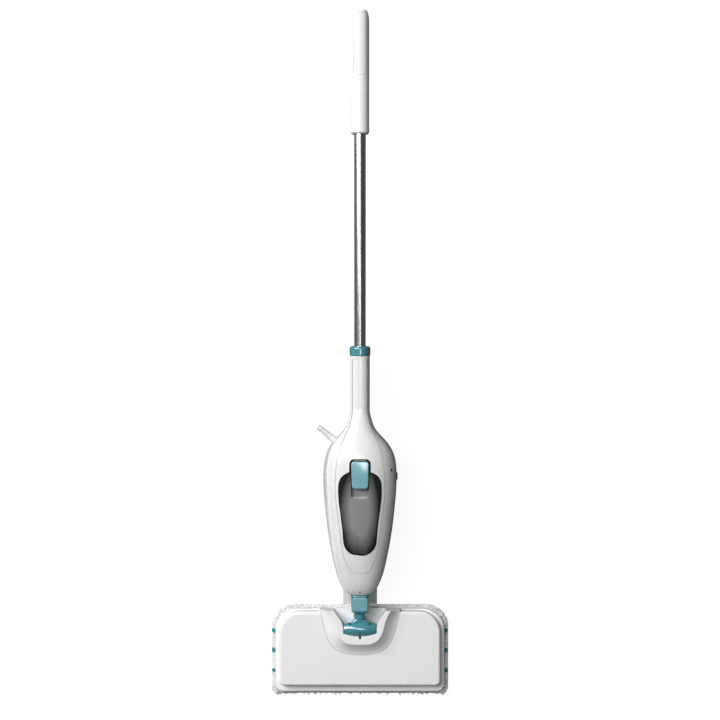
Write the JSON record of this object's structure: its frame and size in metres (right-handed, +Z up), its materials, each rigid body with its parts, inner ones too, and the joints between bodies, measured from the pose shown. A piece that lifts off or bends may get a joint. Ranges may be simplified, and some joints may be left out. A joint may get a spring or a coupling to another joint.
{
  "type": "steam mop",
  "caption": "Steam mop lying flat: microfibre mop head, two-way neck joint, lift-off handheld steam unit with a smoky water tank, bright pole and white grip",
  "frame": {"origin": "centre of the sole, on the floor under the middle of the mop pad", "axes": "+Y along the handle towards the grip, +Z up, out of the front of the lying mop, +X to the right of someone looking down at its front with the grip away from them"},
  "size_m": [0.315, 1.1925, 0.1255],
  "materials": {
    "white_plastic": "polished",
    "teal_plastic": "polished",
    "light_teal_plastic": "satin",
    "smoky_clear_plastic": "polished",
    "black_plastic": "matte",
    "grey_plastic": "matte",
    "chrome_tube": "polished",
    "steel": "satin",
    "cast_aluminium": "rough",
    "silicone": "matte",
    "black_rubber": "matte",
    "white_rubber": "matte",
    "microfibre": "matte",
    "tab_fabric": "matte",
    "hook_tape": "matte",
    "green_board": "satin",
    "lamp_lens": "polished"
  },
  "bodies": {
    "head": {"mop_pad": "microfibre", "pad_tab": "tab_fabric", "hook_strips": "hook_tape", "base_plate": "white_plastic", "base_screws": "steel", "head_cover": "white_plastic", "joint_shroud": "white_plastic", "stop_key": "black_plastic", "pivot_studs": "steel", "steam_diffuser": "grey_plastic", "steam_riser": "grey_plastic"},
    "joint_yoke": {"joint_barrel": "teal_plastic", "swivel_pin": "steel"},
    "neck": {"neck_tube": "teal_plastic", "swivel_seal": "silicone", "collar": "teal_plastic", "button_spring": "steel"},
    "release_button": {"release_button": "light_teal_plastic"},
    "handheld": {"housing_front": "white_plastic", "housing_rear": "white_plastic", "front_fascia": "white_plastic", "tank_bay": "black_plastic", "steam_spigot": "grey_plastic", "spigot_seals": "silicone", "boiler": "cast_aluminium", "heating_element": "steel", "thermostats": "black_plastic", "steam_pipe": "silicone", "pump": "black_plastic", "pump_mounts": "black_rubber", "valve_seat": "grey_plastic", "water_hose": "silicone", "boiler_hose": "silicone", "circuit_board": "green_board", "indicator_lamp": "lamp_lens", "dial_switch": "black_plastic", "trigger_pin": "steel", "trigger_switch": "black_plastic", "strain_relief": "white_rubber", "cord_clamp": "grey_plastic", "housing_screws": "steel", "pole_socket": "grey_plastic"},
    "steam_trigger": {"steam_trigger": "teal_plastic"},
    "steam_dial": {"steam_dial": "grey_plastic"},
    "water_tank": {"water_tank": "smoky_clear_plastic", "tank_cap": "black_plastic", "tank_valve": "grey_plastic"},
    "tank_latch": {"tank_latch": "light_teal_plastic", "latch_spring": "steel"},
    "pole_ring": {"pole_ring": "teal_plastic"},
    "pole": {"pole": "chrome_tube", "pole_plugs": "grey_plastic", "grip_front": "white_plastic", "grip_rear": "white_plastic", "grip_inlay": "white_plastic", "grip_core": "grey_plastic"}
  },
  "joints": [
    {"name": "handle_pitch", "type": "hinge", "parent": "head", "child": "joint_yoke", "pos_m": [0, 0.045, 0.04], "axis": [1, 0, 0], "range_deg": [0, 86.2]},
    {"name": "handle_swivel", "type": "hinge", "parent": "joint_yoke", "child": "neck", "pos_m": [0, 0.04899, 0.04027], "axis": [0, -0.0663, 0.9978], "range_deg": [-35, 35]},
    {"name": "head_release", "type": "slide", "parent": "neck", "child": "release_button", "axis": [0, -0.0663, 0.9978], "range_m": [-0.0013, 0], "stiffness_N_per_m": 900},
    {"name": "handheld_lift_off", "type": "slide", "parent": "neck", "child": "handheld", "axis": [0, 0.9978, 0.0663], "range_m": [0, 0.03]},
    {"name": "steam_trigger_pull", "type": "hinge", "parent": "handheld", "child": "steam_trigger", "pos_m": [0, 0.47631, 0.05722], "axis": [1, 0, 0], "range_deg": [-6, 0], "stiffness_Nm_per_rad": 0.6, "springref_deg": 4.58},
    {"name": "steam_dial_turn", "type": "hinge", "parent": "handheld", "child": "steam_dial", "pos_m": [0.061, 0.314, 0.04283], "axis": [1, 0, 0], "range_deg": [0, 120]},
    {"name": "tank_pull_out", "type": "slide", "parent": "handheld", "child": "water_tank", "axis": [0, -0.0663, 0.9978], "range_m": [0, 0.06]},
    {"name": "tank_latch_slide", "type": "slide", "parent": "water_tank", "child": "tank_latch", "axis": [0, 0.9978, 0.0663], "range_m": [-0.004, 0], "stiffness_N_per_m": 600},
    {"name": "pole_ring_turn", "type": "hinge", "parent": "handheld", "child": "pole_ring", "pos_m": [0, 0.53292, 0.07241], "axis": [0, 0.9978, 0.0663], "range_deg": [0, 45]},
    {"name": "pole_pull_out", "type": "slide", "parent": "handheld", "child": "pole", "axis": [0, 0.9978, 0.0663], "range_m": [0, 0.06]}
  ]
}
